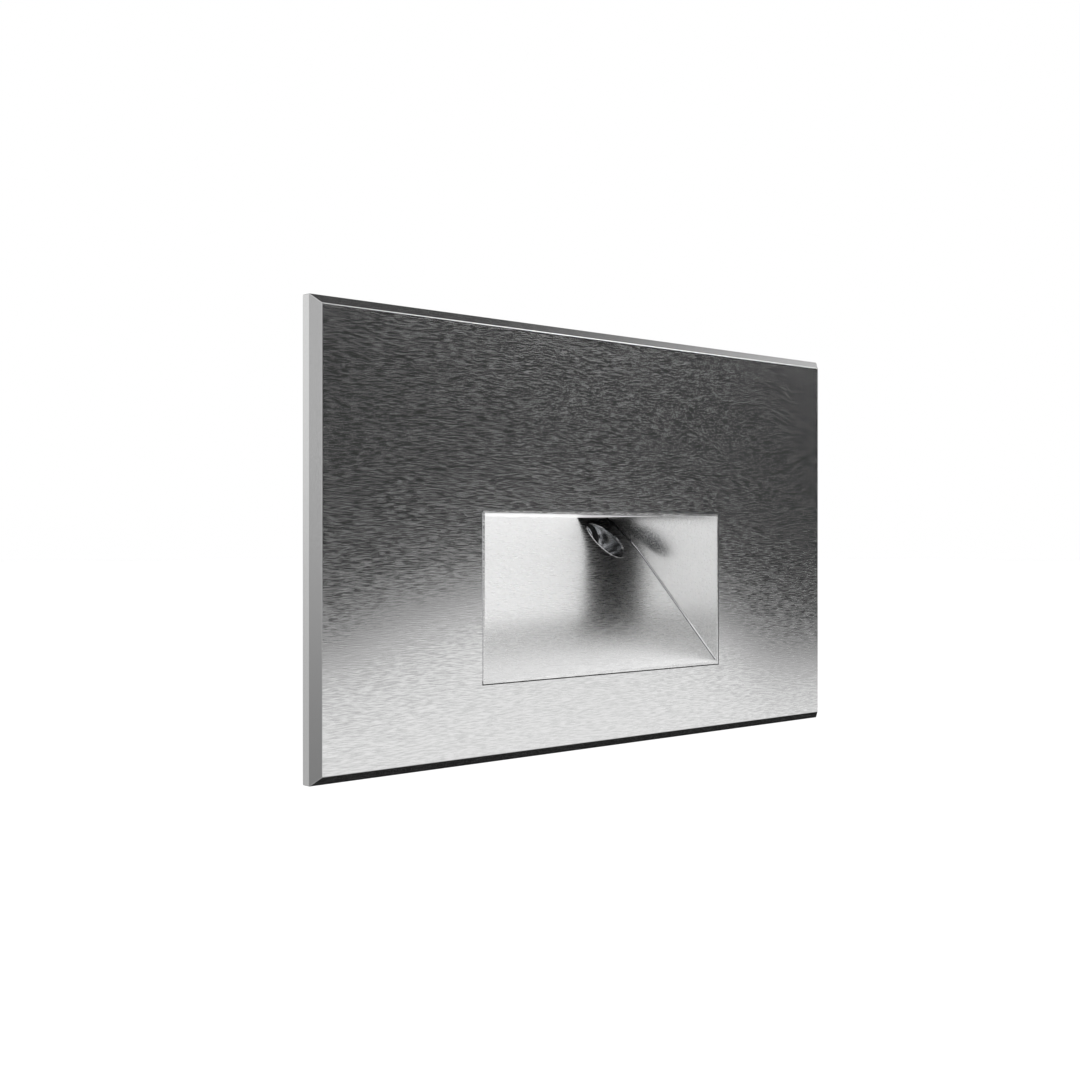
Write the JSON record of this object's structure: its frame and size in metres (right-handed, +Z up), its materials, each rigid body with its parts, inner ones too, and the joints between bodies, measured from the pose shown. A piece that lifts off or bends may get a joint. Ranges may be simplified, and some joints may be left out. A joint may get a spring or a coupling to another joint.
{
  "type": "step light",
  "caption": "Recessed wall step light: screwless bevelled stainless faceplate, sloped sheet-metal hopper with an off-centre light bore, die-cast rear housing.",
  "frame": {"origin": "on the wall's surface, behind the centre of the faceplate, midway between the two box screws", "axes": "+X along the faceplate to the right as seen from the front, +Y into the wall, +Z up"},
  "size_m": [0.127, 0.0423, 0.075],
  "materials": {
    "faceplate": "stainless, brushed along its length",
    "mounting_strap": "zinc plated",
    "plate_magnets": "nickel plated",
    "wall_gasket": "closed-cell foam",
    "optic_insert": "stainless, brushed along its length",
    "glare_shade": "black, closes the opening over the bore",
    "housing_seal": "silicone",
    "rear_housing": "die cast",
    "housing_screws": "zinc plated",
    "optic_barrel": "turned",
    "lens_holder": "black",
    "lens_seal": "black",
    "lens_bezel": "bright",
    "lens": "clear, faceted",
    "led_package": "phosphor under clear silicone",
    "led_board": "white solder mask",
    "led_connector": "white",
    "thermal_pad": "grey-blue silicone",
    "board_screws": "stainless",
    "driver_case": "black",
    "driver_lid": "black",
    "driver_board": "green solder mask",
    "driver_inductor": "ferrite with a wound coil",
    "driver_capacitors": "sleeved",
    "driver_chips": "black",
    "output_connector": "white",
    "driver_screws": "stainless",
    "terminal_block": "light grey",
    "terminal_screws": "zinc plated",
    "cable_grommet": "black",
    "earth_screw": "bare"
  },
  "bodies": {
    "wall_unit": {"mounting_strap": "mounting_strap", "plate_magnets": "plate_magnets", "wall_gasket": "wall_gasket", "optic_insert": "optic_insert", "glare_shade": "glare_shade", "housing_seal": "housing_seal", "rear_housing": "rear_housing", "housing_screws": "housing_screws", "optic_barrel": "optic_barrel", "lens_holder": "lens_holder", "lens_seal": "lens_seal", "lens_bezel": "lens_bezel", "lens": "lens", "led_package": "led_package", "led_board": "led_board", "led_connector": "led_connector", "thermal_pad": "thermal_pad", "board_screws": "board_screws", "driver_case": "driver_case", "driver_lid": "driver_lid", "driver_board": "driver_board", "driver_inductor": "driver_inductor", "driver_capacitors": "driver_capacitors", "driver_chips": "driver_chips", "output_connector": "output_connector", "driver_screws": "driver_screws", "terminal_block": "terminal_block", "terminal_screws": "terminal_screws", "cable_grommet": "cable_grommet", "earth_screw": "earth_screw"},
    "faceplate": {"faceplate": "faceplate"}
  },
  "joints": [
    {"name": "faceplate_pull", "type": "slide", "parent": "wall_unit", "child": "faceplate", "axis": [0, -1, 0], "range_m": [0, 0.03]}
  ]
}
